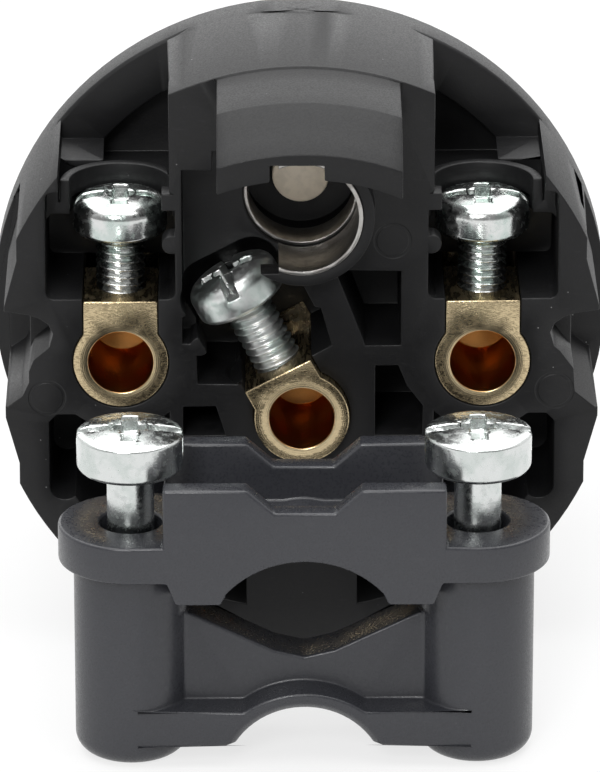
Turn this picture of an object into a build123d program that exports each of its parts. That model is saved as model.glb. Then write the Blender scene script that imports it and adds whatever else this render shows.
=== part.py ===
from build123d import *
from math import cos, radians, sin
import os

# Contact insert of an earthed coupling socket, seen with its outer housing taken off.
# Units are millimetres. X runs across the two line contacts, +Y points out of the
# contact face towards the plug, +Z points up to the locating tongue.
# The origin is the middle of the contact face. Every depth below is measured from
# that face towards the cable, so a depth of d lies at y = -d.

# Driving sizes of the moulded carrier
CARRIER_R = 19.0
TOWER_LEN = 14.9
FLANGE_LEN = 2.9
CARRIER_LEN = 13.2
REAR = TOWER_LEN + CARRIER_LEN
FLANGE_BACK = TOWER_LEN + FLANGE_LEN
RIM_WALL = 2.6
EDGE = 0.35

# Plug pattern and terminals
PIN_X = 9.5
PIN_LEN = 19.0
PIN_HOLE_R = 2.7
TERMINAL_X = 11.0
TUBE_R = 2.9
TUBE_BORE_R = 1.975
NECK_WIDTH = 4.5
NECK_TOP = 3.95
SEAT_GAP = 0.05

# Contact screws
THREAD_R = 1.5
THREAD_HOLE_R = 1.55
HEAD_R = 2.85
HEAD_HEIGHT = 2.4
HEAD_SEAT_Z = 7.5
SCREW_SET_BACK = 3.0
SCREW_LEN = 5.4

# Earth line
EARTH_Z = -3.4
EARTH_TILT = 28.0
EARTH_REAR = REAR + 0.8
TUNNEL_Z = 10.0
TUNNEL_R = 3.55
STRIP_WIDTH = 4.2
STRIP_THICK = 0.8
STRIP_Z = 16.2

# Cable clamp
CLAMP_MID = REAR + 14.2
CLAMP_SCREW_X = 10.25
POST_R = 3.4
BAR_HALF = 4.3
BAR_SEAT_Z = -6.7
BAR_BOSS_TOP = -4.4
FOOT_Z = -CARRIER_R

os.makedirs("parts", exist_ok=True)


def behind(depth):
    """Upright plane at a depth behind the contact face, looking towards the cable."""
    return Plane.XZ.offset(depth)


def save(piece, name):
    """Label a finished piece and write it to its own file."""
    piece.part.label = name
    export_step(piece.part, f"parts/{name}.step")


# Contact carrier: one black moulding with a round flange, a slotted tower that holds
# the contact sleeves in front of it, and a ribbed terminal chamber behind it.
FLAT_X = 17.25
BUMP_X = 18.05
GROOVE_TOP = 2.75
GROOVE_BOTTOM = -3.0
GROOVE_HIGH_X = 15.3
GROOVE_LOW_X = 16.55
GROOVE_STEP = 4.0
CHANNEL_WIDTH = STRIP_WIDTH + 0.6
STRIP_SEAT = REAR - 8.2
TUNNEL_END = STRIP_SEAT + 1.0
REAR_BUSH_FRONT = REAR - 2.4
REAR_BUSH_R = 3.7
BUSH_CUT_X = -1.4
SPIGOT_R = 1.45
CAP_THICK = 2.0
TOWER_R = 7.8
TOWER_SPACING = 2 * TOWER_R
SLEEVE_CAVITY_R = 3.7
TUBE_FRONT = REAR - 8.2
WINDOW_FRONT = REAR - 10.5
WINDOW_IN = 8.0
WINDOW_OUT = 14.7
TROUGH_R = 3.05
TROUGH_TOP = 10.7
CHAMBER_SILL = 4.1
CHAMBER_IN = 7.65
CHAMBER_OUT = 15.5
COLLAR_BOTTOM = 8.5
POCKET_FLOOR = REAR - 8.0
MIDDLE_FLOOR = REAR - 7.0
SHELF_DEPTH = REAR - 2.6
RIB_LEN = 1.4
TONGUE_HALF = 5.5
TONGUE_MID = 0.4
NOTCH_WIDTH = 3.25
NOTCH_MID = -0.35
NOTCH_TOP = 15.5
TONGUE_END = REAR + 7.8
TONGUE_CREASE = REAR + 4.5
BLOCK_END = REAR - 1.0
BOSS_R = 4.4
BOSS_END = REAR + 1.75
EARTH_TROUGH_R = 3.2
EARTH_TROUGH_START = 3.4
EARTH_TROUGH_TOP = 10.9
EARTH_TROUGH_CORNER = 1.6
EARTH_SCREW_DEPTH = EARTH_REAR - SCREW_SET_BACK
EARTH_AXIS = Vector(-sin(radians(EARTH_TILT)), 0, cos(radians(EARTH_TILT)))
SADDLE_FOOT_IN = 6.6
SADDLE_FOOT_OUT = 10.6
SADDLE_FOOT_TOP = -9.4
SADDLE_FOOT_BOTTOM = -12.4


def earth_plane(depth):
    """Plane at a depth whose local Y runs up the tilted earth screw."""
    return Plane(origin=(0, -depth, EARTH_Z), x_dir=EARTH_AXIS.cross(Vector(0, -1, 0)), z_dir=(0, -1, 0))


with BuildPart() as tongue:
    with BuildSketch(Plane.YZ):
        with BuildLine():
            Polyline(
                (-BLOCK_END, CARRIER_R), (-TONGUE_CREASE, 18.3), (-TONGUE_END, 16.2),
                (-TONGUE_END, 14.6), (-TONGUE_CREASE, 16.4), (-BLOCK_END, 16.8), close=True)
        make_face()
    revolve(axis=Axis.Y)
    with BuildSketch(behind(BLOCK_END)):
        with Locations((TONGUE_MID, CARRIER_R)):
            Rectangle(2 * TONGUE_HALF, 2 * CARRIER_R)
    extrude(amount=TONGUE_END - BLOCK_END, mode=Mode.INTERSECT)
    with BuildSketch(behind(TONGUE_CREASE)):
        with Locations((NOTCH_MID, NOTCH_TOP - 2)):
            Rectangle(NOTCH_WIDTH, 4)
    extrude(amount=TONGUE_END - TONGUE_CREASE, mode=Mode.SUBTRACT)

# Hollow for the head of the tilted earth screw, rounded at its end
with BuildPart() as earth_trough:
    with BuildSketch(
            Plane(origin=Vector(0, -EARTH_SCREW_DEPTH, EARTH_Z) + EARTH_AXIS * EARTH_TROUGH_START,
                  z_dir=EARTH_AXIS)):
        Circle(EARTH_TROUGH_R)
    extrude(amount=EARTH_TROUGH_TOP - EARTH_TROUGH_START)
    fillet(earth_trough.edges().sort_by(Axis((0, 0, 0), EARTH_AXIS))[-1], EARTH_TROUGH_CORNER)
    with BuildSketch(earth_plane(EARTH_SCREW_DEPTH)) as mouth:
        with Locations((0, (EARTH_TROUGH_START + EARTH_TROUGH_TOP) / 2)):
            Rectangle(2 * EARTH_TROUGH_R, EARTH_TROUGH_TOP - EARTH_TROUGH_START)
        fillet(mouth.vertices().sort_by(Axis((0, 0, 0), EARTH_AXIS))[-2:], EARTH_TROUGH_CORNER)
    extrude(amount=6)

with BuildPart() as carrier:
    # Full flange, then the body behind it with its flattened, waisted sides
    with BuildSketch(behind(TOWER_LEN)):
        Circle(CARRIER_R)
    extrude(amount=FLANGE_LEN)
    chamfer(carrier.edges().filter_by(GeomType.CIRCLE), EDGE)
    with BuildSketch(behind(FLANGE_BACK)):
        Circle(CARRIER_R)
        with BuildLine():
            Polyline(
                (FLAT_X, 8.2), (FLAT_X, 6.6), (BUMP_X, 3.6), (BUMP_X, -3.6), (FLAT_X, -6.6),
                (FLAT_X, -8.2), (CARRIER_R + 1, -8.2), (CARRIER_R + 1, 8.2), close=True)
            mirror(about=Plane.YZ)
        make_face(mode=Mode.SUBTRACT)
    extrude(amount=REAR - FLANGE_BACK)
    add(tongue.part)

    # Key grooves down both flanks, deeper at the cable end
    for top_depth, floor in ((FLANGE_BACK, GROOVE_LOW_X), (REAR - GROOVE_STEP, GROOVE_HIGH_X)):
        with BuildSketch(behind(top_depth)):
            with BuildLine():
                Polyline(
                    (CARRIER_R, GROOVE_TOP), (floor + 0.6, GROOVE_TOP), (floor, GROOVE_TOP - 0.6),
                    (floor, 1.2), (GROOVE_LOW_X, -0.5), (GROOVE_LOW_X + 0.1, -2.0),
                    (BUMP_X - 0.2, GROOVE_BOTTOM), (CARRIER_R, GROOVE_BOTTOM), close=True)
                mirror(about=Plane.YZ)
            make_face()
        extrude(amount=REAR - top_depth, mode=Mode.SUBTRACT)

    # Tower with room for both sleeves, and the cap's seat
    with BuildSketch(behind(CAP_THICK)):
        SlotCenterToCenter(TOWER_SPACING, 2 * TOWER_R)
    extrude(amount=TOWER_LEN - CAP_THICK)
    with BuildSketch(behind(CAP_THICK)):
        for side in (-1, 1):
            with Locations((side * PIN_X, 0)):
                Circle(SLEEVE_CAVITY_R)
            with Locations((side * TERMINAL_X, 0)):
                Circle(TUBE_R + 2 * SEAT_GAP)
            with Locations((side * TERMINAL_X, NECK_TOP / 2)):
                Rectangle(NECK_WIDTH + 4 * SEAT_GAP, NECK_TOP + 2 * SEAT_GAP)
    extrude(amount=TUBE_FRONT - CAP_THICK, mode=Mode.SUBTRACT)

    # Channel for the earth bow, open to the plug side
    with BuildSketch(behind(CAP_THICK)):
        Rectangle(CHANNEL_WIDTH, 2 * (STRIP_Z + STRIP_THICK))
    extrude(amount=STRIP_SEAT - CAP_THICK, mode=Mode.SUBTRACT)

    # Tube seats and necks, open to the cable side
    with BuildSketch(behind(TUBE_FRONT)):
        for side in (-1, 1):
            with Locations((side * TERMINAL_X, 0)):
                Circle(TUBE_R + SEAT_GAP)
            with Locations((side * TERMINAL_X, CHAMBER_SILL / 2)):
                Rectangle(NECK_WIDTH + 2 * SEAT_GAP, CHAMBER_SILL)
    extrude(amount=REAR - TUBE_FRONT, mode=Mode.SUBTRACT)

    # Screw chambers: a deep pocket round each shank, a half-round collar round the head
    # and a window through the rim for the screwdriver
    with BuildSketch(behind(POCKET_FLOOR)):
        for side in (-1, 1):
            with Locations((side * (CHAMBER_IN + CHAMBER_OUT) / 2, (CHAMBER_SILL + COLLAR_BOTTOM) / 2)):
                RectangleRounded(CHAMBER_OUT - CHAMBER_IN, COLLAR_BOTTOM - CHAMBER_SILL, 0.5)
    extrude(amount=REAR - POCKET_FLOOR, mode=Mode.SUBTRACT)
    with BuildSketch(behind(REAR - SCREW_SET_BACK)):
        for side in (-1, 1):
            with Locations((side * (CHAMBER_IN + CHAMBER_OUT) / 2, (CHAMBER_SILL + 11) / 2)):
                RectangleRounded(CHAMBER_OUT - CHAMBER_IN, 11 - CHAMBER_SILL, 0.5)
    extrude(amount=SCREW_SET_BACK, mode=Mode.SUBTRACT)
    with BuildSketch(Plane.XY.offset(CHAMBER_SILL)):
        for side in (-1, 1):
            with Locations((side * TERMINAL_X, -REAR + SCREW_SET_BACK)):
                Circle(TROUGH_R)
    extrude(amount=CARRIER_R, mode=Mode.SUBTRACT)
    with BuildSketch(behind(WINDOW_FRONT)):
        for side in (-1, 1):
            with Locations((side * (WINDOW_IN + WINDOW_OUT) / 2, TROUGH_TOP + CARRIER_R / 2)):
                Rectangle(WINDOW_OUT - WINDOW_IN, CARRIER_R)
    extrude(amount=CARRIER_LEN, mode=Mode.SUBTRACT)

    # Guide ribs on the inner wall of each chamber
    with BuildSketch(behind(REAR - RIB_LEN)):
        for side in (-1, 1):
            with Locations((side * CHAMBER_IN, 10.35)):
                Rectangle(1.6, 1.1)
            with Locations((side * (CHAMBER_IN + 0.2), 7.6)):
                Circle(0.6)
    extrude(amount=RIB_LEN)

    # Blind pockets that keep the walls even
    with BuildSketch(behind(POCKET_FLOOR)):
        for side in (-1, 1):
            with Locations((side * 14.5, -6.2)):
                RectangleRounded(1.8, 5.6, 0.85)
    extrude(amount=REAR - POCKET_FLOOR, mode=Mode.SUBTRACT)
    for outline in (
            ((2.1, 5.6), (2.7, 5.95), (6.1, 5.95), (6.1, 1.0), (3.85, 1.0)),
            ((4.4, -0.2), (5.9, -0.2), (6.4, -1.6), (7.4, -2.9), (7.4, -4.9), (4.4, -4.9)),
            ((-7.3, -2.85), (-5.2, -2.85), (-4.5, -4.9), (-7.3, -4.9)),
            ((-6.4, 3.0), (-6.4, -1.5), (-3.9, -1.5), (-2.0, 3.0)),
            ((-1.4, 5.7), (0.1, 5.0), (0.75, 3.55), (1.2, 3.55), (1.9, 1.05), (0.7, 0.45), (-2.5, 0.3))):
        with BuildSketch(behind(MIDDLE_FLOOR)) as pocket:
            with BuildLine():
                Polyline(*outline, close=True)
            make_face()
            fillet(pocket.vertices(), 0.2)
        extrude(amount=REAR - MIDDLE_FLOOR, mode=Mode.SUBTRACT)

    # Sunken shelf left of the tunnel, with a peg and a small tab at its foot
    with BuildSketch(behind(SHELF_DEPTH)):
        with BuildLine():
            Polyline((-7.25, 12.4), (BUSH_CUT_X, 12.4), (BUSH_CUT_X, 5.6), (-4.0, 1.2), (-7.25, 1.2), close=True)
        make_face()
    extrude(amount=REAR - SHELF_DEPTH, mode=Mode.SUBTRACT)
    with BuildSketch(behind(SHELF_DEPTH)):
        with Locations((-6.2, 1.0)):
            Circle(0.6)
        with BuildLine():
            Polyline((-7.3, 4.2), (-6.7, 4.0), (-6.7, 3.1), (-7.3, 2.9), close=True)
        make_face()
    extrude(amount=REAR - SHELF_DEPTH)

    # Pockets under the terminals that take the feet of the clamp saddle
    with BuildSketch(behind(POCKET_FLOOR)):
        Circle(CARRIER_R - RIM_WALL)
        with Locations((0, CARRIER_R - 8.2)):
            Rectangle(2 * CARRIER_R, 2 * CARRIER_R, mode=Mode.SUBTRACT)
        Rectangle(2 * 3.4, 2 * CARRIER_R, mode=Mode.SUBTRACT)
    extrude(amount=REAR - POCKET_FLOOR, mode=Mode.SUBTRACT)

    # Tilted bed of the earth terminal with the trough behind its screw
    with BuildSketch(earth_plane(STRIP_SEAT)):
        Circle(TUBE_R + SEAT_GAP)
        with Locations((0, 2)):
            Rectangle(NECK_WIDTH + 2 * SEAT_GAP, 4)
    extrude(amount=REAR, mode=Mode.SUBTRACT)
    add(earth_trough.part, mode=Mode.SUBTRACT)

    # Tunnel boss above the terminals
    with BuildSketch(behind(REAR)):
        with Locations((0, TUNNEL_Z)):
            Circle(BOSS_R)
    extrude(amount=BOSS_END - REAR)
    with BuildSketch(behind(SHELF_DEPTH)):
        with Locations((BUSH_CUT_X - 2, TUNNEL_Z)):
            Rectangle(4, 4.8 + 2.4)
    extrude(amount=BOSS_END - SHELF_DEPTH, mode=Mode.SUBTRACT)
    for start, bore_r in ((TUNNEL_END, TUNNEL_R), (REAR_BUSH_FRONT, REAR_BUSH_R)):
        with BuildSketch(behind(start)):
            with Locations((0, TUNNEL_Z)):
                Circle(bore_r)
        extrude(amount=BOSS_END - start, mode=Mode.SUBTRACT)
    with BuildSketch(behind(STRIP_SEAT)):
        with Locations((0, TUNNEL_Z)):
            Circle(SPIGOT_R + 0.02)
    extrude(amount=TUNNEL_END - STRIP_SEAT, mode=Mode.SUBTRACT)

save(carrier, "contact_carrier")


# Line and neutral contacts: a brass tube terminal and a slotted sleeve in one piece
SLEEVE_OUT_R = 3.0
SLEEVE_IN_R = 2.35
SLEEVE_MOUTH = CAP_THICK + 0.1
SLEEVE_FLOOR = PIN_LEN + 0.3
SLEEVE_SLIT = 0.6
SLEEVE_SLIT_LEN = 12.0
TUBE_BORE_LEN = 7.2
MOUTH_R = 2.125
RING_OUT_R = 3.5
RING_LEN = 3.0
RING_DEPTH = 5.0
RING_GAP = 0.9

for pole, side in (("line", -1), ("neutral", 1)):
    with BuildPart() as contact:
        with BuildSketch(behind(TUBE_FRONT)):
            with Locations((side * TERMINAL_X, 0)):
                Circle(TUBE_R)
        extrude(amount=REAR - TUBE_FRONT)
        with BuildSketch(behind(REAR - 2 * SCREW_SET_BACK)):
            with Locations((side * TERMINAL_X, NECK_TOP / 2)):
                Rectangle(NECK_WIDTH, NECK_TOP)
        extrude(amount=2 * SCREW_SET_BACK)
        with BuildSketch(behind(SLEEVE_FLOOR)):
            with Locations((side * PIN_X, 0)):
                Circle(SLEEVE_OUT_R)
            with Locations((side * TERMINAL_X, 0)):
                Circle(TUBE_R)
        extrude(amount=TUBE_FRONT - SLEEVE_FLOOR)
        with BuildSketch(behind(SLEEVE_MOUTH)):
            with Locations((side * PIN_X, 0)):
                Circle(SLEEVE_OUT_R)
                Circle(SLEEVE_IN_R, mode=Mode.SUBTRACT)
                Rectangle(SLEEVE_SLIT, 2 * CARRIER_R, mode=Mode.SUBTRACT)
                Rectangle(2 * SLEEVE_OUT_R + 1, SLEEVE_SLIT, mode=Mode.SUBTRACT)
        extrude(amount=SLEEVE_SLIT_LEN)
        with BuildSketch(behind(SLEEVE_MOUTH + SLEEVE_SLIT_LEN)):
            with Locations((side * PIN_X, 0)):
                Circle(SLEEVE_OUT_R)
                Circle(SLEEVE_IN_R, mode=Mode.SUBTRACT)
        extrude(amount=SLEEVE_FLOOR - SLEEVE_MOUTH - SLEEVE_SLIT_LEN)
        with BuildSketch(behind(REAR - TUBE_BORE_LEN)):
            with Locations((side * TERMINAL_X, 0)):
                Circle(TUBE_BORE_R)
        extrude(amount=TUBE_BORE_LEN, mode=Mode.SUBTRACT)
        with BuildSketch(Plane.XY):
            with Locations((side * TERMINAL_X, -REAR + SCREW_SET_BACK)):
                Circle(THREAD_HOLE_R)
        extrude(amount=NECK_TOP, mode=Mode.SUBTRACT)
    save(contact, f"{pole}_contact")

    # Split steel ring that keeps the sleeve's fingers tight on the pin
    with BuildPart() as ring:
        with BuildSketch(behind(RING_DEPTH)):
            with Locations((side * PIN_X, 0)):
                Circle(RING_OUT_R)
                Circle(SLEEVE_OUT_R + 0.02, mode=Mode.SUBTRACT)
                with Locations((0, RING_OUT_R)):
                    Rectangle(RING_GAP, 2 * RING_OUT_R - 1, mode=Mode.SUBTRACT)
        extrude(amount=RING_LEN)
    save(ring, f"{pole}_spring_ring")


# Cap that closes the tower, with the two pin entries
with BuildPart() as cap:
    with BuildSketch(behind(0)):
        SlotCenterToCenter(TOWER_SPACING, 2 * TOWER_R)
    extrude(amount=CAP_THICK)
    chamfer(cap.faces().sort_by(Axis.Y)[-1].edges(), EDGE)
    with BuildSketch(behind(0)):
        with GridLocations(2 * PIN_X, 0, 2, 1):
            Circle(PIN_HOLE_R)
    extrude(amount=CAP_THICK, mode=Mode.SUBTRACT)
save(cap, "face_cap")


# Screws. The thread is a plain shank at its outer size.
SLOT_WIDTH = 0.8
CROSS_WIDTH = 0.9
SLOT_DEPTH = 1.1


def head_screw(seat, head_r, head_height, shank_r, shank_len, neck_r=None, neck_len=0.0):
    """Rounded head on its seat plane, shank below it, and a slot with a cross across it."""
    side_plane = Plane(origin=seat.origin, x_dir=seat.x_dir, z_dir=-seat.y_dir)
    shank = [(0, head_height), (0, -shank_len), (shank_r - 0.35, -shank_len), (shank_r, -shank_len + 0.35)]
    if neck_len:
        shank += [(shank_r, -neck_len), (neck_r, -neck_len), (neck_r, 0)]
    else:
        shank += [(shank_r, 0)]
    shoulder = (head_r, 0.55 * head_height)
    brow = (0.76 * head_r, 0.93 * head_height)
    crown_r = 0.3 * head_r
    with BuildPart() as screw:
        with BuildSketch(side_plane):
            with BuildLine():
                Polyline(*shank, (head_r - 0.25, 0), (head_r, 0.3), shoulder)
                ThreePointArc(shoulder, (0.93 * head_r, 0.82 * head_height), brow)
                ThreePointArc(brow, (0.54 * head_r, 0.985 * head_height), (crown_r, head_height))
                Line((crown_r, head_height), (0, head_height))
            make_face()
        revolve(axis=Axis(seat.origin, seat.z_dir))
        with BuildSketch(seat.offset(head_height)):
            Rectangle(2 * head_r + 1, SLOT_WIDTH)
            Rectangle(CROSS_WIDTH, 1.2 * head_r)
        extrude(amount=-SLOT_DEPTH, mode=Mode.SUBTRACT)
    return screw


for pole, side in (("line", -1), ("neutral", 1)):
    seat = Plane(origin=(side * TERMINAL_X, -REAR + SCREW_SET_BACK, HEAD_SEAT_Z), z_dir=(0, 0, 1))
    screw = head_screw(seat, HEAD_R, HEAD_HEIGHT, THREAD_R, SCREW_LEN)
    save(screw, f"{pole}_screw")

EARTH_HEAD_SEAT = 7.4
EARTH_NECK_TOP = 3.15
earth_seat = Plane(
    origin=Vector(0, -EARTH_SCREW_DEPTH, EARTH_Z) + EARTH_AXIS * EARTH_HEAD_SEAT,
    x_dir=(0, 1, 0), z_dir=EARTH_AXIS)
earth_screw = head_screw(earth_seat, HEAD_R, HEAD_HEIGHT, THREAD_R, SCREW_LEN)
save(earth_screw, "earth_screw")

# Earth terminal: brass tube with a spigot riveted through the bow
SPIGOT_HEAD_R = 2.1
SPIGOT_HEAD = 0.8
BOW_BACK = STRIP_SEAT
BOW_FRONT = STRIP_SEAT - STRIP_THICK
with BuildPart() as earth_terminal:
    with BuildSketch(earth_plane(STRIP_SEAT)):
        Circle(TUBE_R)
    extrude(amount=EARTH_REAR - STRIP_SEAT)
    with BuildSketch(earth_plane(EARTH_REAR - 2 * SCREW_SET_BACK)):
        with Locations((0, EARTH_NECK_TOP / 2)):
            Rectangle(NECK_WIDTH, EARTH_NECK_TOP)
    extrude(amount=2 * SCREW_SET_BACK)
    with BuildSketch(earth_plane(BOW_FRONT)):
        Circle(SPIGOT_R)
    extrude(amount=STRIP_THICK)
    with BuildSketch(earth_plane(BOW_FRONT - SPIGOT_HEAD)):
        Circle(SPIGOT_HEAD_R)
    extrude(amount=SPIGOT_HEAD)
    with BuildSketch(earth_plane(EARTH_REAR - TUBE_BORE_LEN)):
        Circle(TUBE_BORE_R)
    extrude(amount=TUBE_BORE_LEN, mode=Mode.SUBTRACT)
    with BuildSketch(Plane(origin=(0, -EARTH_SCREW_DEPTH, EARTH_Z), z_dir=EARTH_AXIS)):
        Circle(THREAD_HOLE_R)
    extrude(amount=2 * EARTH_NECK_TOP, mode=Mode.SUBTRACT)
save(earth_terminal, "earth_terminal")

# Earth bow: a plated strip bent to a U, whose arms reach out beside the contact face
ARM_STRAIGHT = 2.0
ARM_BULGE = 8.0
ARM_TIP = 11.5
STRIP_MID = STRIP_SEAT - STRIP_THICK / 2
with BuildPart() as bow:
    with BuildSketch(Plane.YZ):
        with BuildLine():
            FilletPolyline(
                (ARM_TIP, STRIP_Z + 0.4), (ARM_BULGE, STRIP_Z - 1.6), (ARM_STRAIGHT, STRIP_Z),
                (-STRIP_MID, STRIP_Z), (-STRIP_MID, -STRIP_Z), (ARM_STRAIGHT, -STRIP_Z),
                (ARM_BULGE, -STRIP_Z + 1.6), (ARM_TIP, -STRIP_Z - 0.4), radius=1.0)
        trace(line_width=STRIP_THICK)
    extrude(amount=STRIP_WIDTH / 2, both=True)
    with BuildSketch(behind(BOW_FRONT)):
        for z in (TUNNEL_Z, EARTH_Z):
            with Locations((0, z)):
                Circle(SPIGOT_R + 0.02)
    extrude(amount=STRIP_THICK, mode=Mode.SUBTRACT)
save(bow, "earth_bow")

# Rivet at the end of the tunnel, and the two metal bushes that line the tunnel
RIVET_HEAD_R = 1.75
RIVET_HEAD = 1.5
with BuildPart() as rivet:
    with BuildSketch(behind(TUNNEL_END)):
        with Locations((0, TUNNEL_Z)):
            Circle(RIVET_HEAD_R)
    extrude(amount=RIVET_HEAD)
    with BuildSketch(behind(BOW_FRONT)):
        with Locations((0, TUNNEL_Z)):
            Circle(SPIGOT_R)
    extrude(amount=TUNNEL_END - BOW_FRONT)
    with BuildSketch(behind(BOW_FRONT - SPIGOT_HEAD)):
        with Locations((0, TUNNEL_Z)):
            Circle(SPIGOT_HEAD_R)
    extrude(amount=SPIGOT_HEAD)
save(rivet, "earth_rivet")

for name, front, back, outer_r, inner_r in (
        ("rear_tunnel_bush", REAR_BUSH_FRONT, REAR + 1.85, REAR_BUSH_R, 3.42),
        ("front_tunnel_bush", REAR - 5.3, REAR - 2.9, TUNNEL_R, 3.28)):
    with BuildPart() as bush:
        with BuildSketch(behind(front)):
            with Locations((0, TUNNEL_Z)):
                Circle(outer_r - 0.02)
                Circle(inner_r, mode=Mode.SUBTRACT)
            if front > SHELF_DEPTH:
                with Locations((BUSH_CUT_X - outer_r, TUNNEL_Z)):
                    Rectangle(2 * outer_r, 3 * outer_r, mode=Mode.SUBTRACT)
        extrude(amount=back - front)
    save(bush, name)


# Clamp saddle: two posts, a vee-shaped cable seat between them, and feet that reach
# forward into the carrier
VEE_FRONT = CLAMP_MID - 1.4
VEE_BACK = CLAMP_MID + 1.4
VEE_END_X = 6.8
VEE_END_Z = -9.2
VEE_LOW_Z = -12.1
SADDLE_FLANGE_TOP = -14.8
SADDLE_FLANGE_BOTTOM = -17.0
SADDLE_ARCH_R = 4.8
CORE_R = 1.75
CORE_LEN = 11.0
with BuildPart() as saddle:
    with BuildSketch(Plane.XY.offset(FOOT_Z)):
        with GridLocations(2 * CLAMP_SCREW_X, 0, 2, 1):
            with Locations((0, -CLAMP_MID)):
                Circle(POST_R)
    extrude(amount=BAR_SEAT_Z - FOOT_Z)
    fillet(saddle.faces().sort_by(Axis.Z)[0:2].edges(), 1.2)
    with BuildSketch(behind(VEE_FRONT)):
        with BuildLine():
            Polyline(
                (-CLAMP_SCREW_X, VEE_END_Z), (-VEE_END_X, VEE_END_Z), (-1.8, VEE_LOW_Z + 0.45),
                (0, VEE_LOW_Z), (1.8, VEE_LOW_Z + 0.45), (VEE_END_X, VEE_END_Z),
                (CLAMP_SCREW_X, VEE_END_Z), (CLAMP_SCREW_X, SADDLE_FLANGE_BOTTOM),
                (-CLAMP_SCREW_X, SADDLE_FLANGE_BOTTOM), close=True)
        make_face()
    extrude(amount=VEE_BACK - VEE_FRONT)
    with BuildSketch(behind(CLAMP_MID - POST_R)):
        with BuildLine():
            Polyline((-3.6, SADDLE_FLANGE_TOP), (-CLAMP_SCREW_X, SADDLE_FLANGE_TOP),
                     (-CLAMP_SCREW_X, SADDLE_FLANGE_BOTTOM), (CLAMP_SCREW_X, SADDLE_FLANGE_BOTTOM),
                     (CLAMP_SCREW_X, SADDLE_FLANGE_TOP), (3.6, SADDLE_FLANGE_TOP))
            ThreePointArc((3.6, SADDLE_FLANGE_TOP), (0, SADDLE_FLANGE_TOP + 1.2), (-3.6, SADDLE_FLANGE_TOP))
        make_face()
    extrude(amount=2 * POST_R)
    with BuildSketch(behind(CLAMP_MID - POST_R)):
        with Locations((0, SADDLE_FLANGE_BOTTOM + 2.3 - SADDLE_ARCH_R)):
            Circle(SADDLE_ARCH_R)
    extrude(amount=2 * POST_R, mode=Mode.SUBTRACT)
    chamfer(
        saddle.edges().filter_by(GeomType.CIRCLE).filter_by(lambda arc: abs(arc.radius - SADDLE_ARCH_R) < 0.01)
        .sort_by(Axis.Y)[0], 0.5)
    with BuildSketch(behind(POCKET_FLOOR + 1.0)):
        for side in (-1, 1):
            with Locations((side * (SADDLE_FOOT_IN + SADDLE_FOOT_OUT) / 2,
                            (SADDLE_FOOT_TOP + SADDLE_FOOT_BOTTOM) / 2)):
                Rectangle(SADDLE_FOOT_OUT - SADDLE_FOOT_IN, SADDLE_FOOT_TOP - SADDLE_FOOT_BOTTOM)
    extrude(amount=CLAMP_MID - POCKET_FLOOR - 1.0)
    with BuildSketch(Plane.XY.offset(BAR_SEAT_Z)):
        with GridLocations(2 * CLAMP_SCREW_X, 0, 2, 1):
            with Locations((0, -CLAMP_MID)):
                Circle(CORE_R)
    extrude(amount=-CORE_LEN, mode=Mode.SUBTRACT)
save(saddle, "clamp_saddle")

# Clamp bar: two bosses joined by a pair of plates with a web between them
PLATE_THICK = 1.4
PLATE_HALF = 8.3
LIP_HALF = 6.7
PLATE_TOP = -0.75
PLATE_BOTTOM = -7.75
DIP_HALF = 2.4
DIP_FLOOR = -2.2
BAR_HOLE_R = 1.85
ARCH_R = 6.2
with BuildPart() as bar:
    with BuildSketch(Plane.XY.offset(BAR_SEAT_Z)):
        with Locations((0, -CLAMP_MID)):
            SlotCenterToCenter(2 * CLAMP_SCREW_X, 2 * BAR_HALF)
    extrude(amount=BAR_BOSS_TOP - BAR_SEAT_Z)
    with BuildSketch(behind(CLAMP_MID - BAR_HALF)):
        with BuildLine():
            Polyline(
                (-PLATE_HALF, BAR_SEAT_Z), (-LIP_HALF, BAR_SEAT_Z), (-LIP_HALF + 0.5, PLATE_BOTTOM),
                (LIP_HALF - 0.5, PLATE_BOTTOM), (LIP_HALF, BAR_SEAT_Z), (PLATE_HALF, BAR_SEAT_Z),
                (PLATE_HALF, PLATE_TOP), (DIP_HALF + 1, PLATE_TOP), (DIP_HALF - 0.6, DIP_FLOOR),
                (-DIP_HALF + 0.6, DIP_FLOOR), (-DIP_HALF - 1, PLATE_TOP), (-PLATE_HALF, PLATE_TOP),
                close=True)
        make_face()
    extrude(amount=2 * BAR_HALF)
    with BuildSketch(behind(CLAMP_MID - BAR_HALF + PLATE_THICK)):
        with Locations((0, BAR_BOSS_TOP + 3)):
            Rectangle(2 * PLATE_HALF, 6)
        with Locations((0, PLATE_BOTTOM - 1)):
            Circle(4.5, mode=Mode.SUBTRACT)
    extrude(amount=2 * (BAR_HALF - PLATE_THICK), mode=Mode.SUBTRACT)
    with BuildSketch(behind(CLAMP_MID - BAR_HALF)):
        with Locations((0, PLATE_BOTTOM + 2.45 - ARCH_R)):
            Circle(ARCH_R)
    extrude(amount=2 * BAR_HALF, mode=Mode.SUBTRACT)
    with BuildSketch(Plane.XY.offset(BAR_SEAT_Z)):
        with GridLocations(2 * CLAMP_SCREW_X, 0, 2, 1):
            with Locations((0, -CLAMP_MID)):
                Circle(BAR_HOLE_R)
    extrude(amount=BAR_BOSS_TOP - BAR_SEAT_Z, mode=Mode.SUBTRACT)
save(bar, "clamp_bar")

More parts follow.
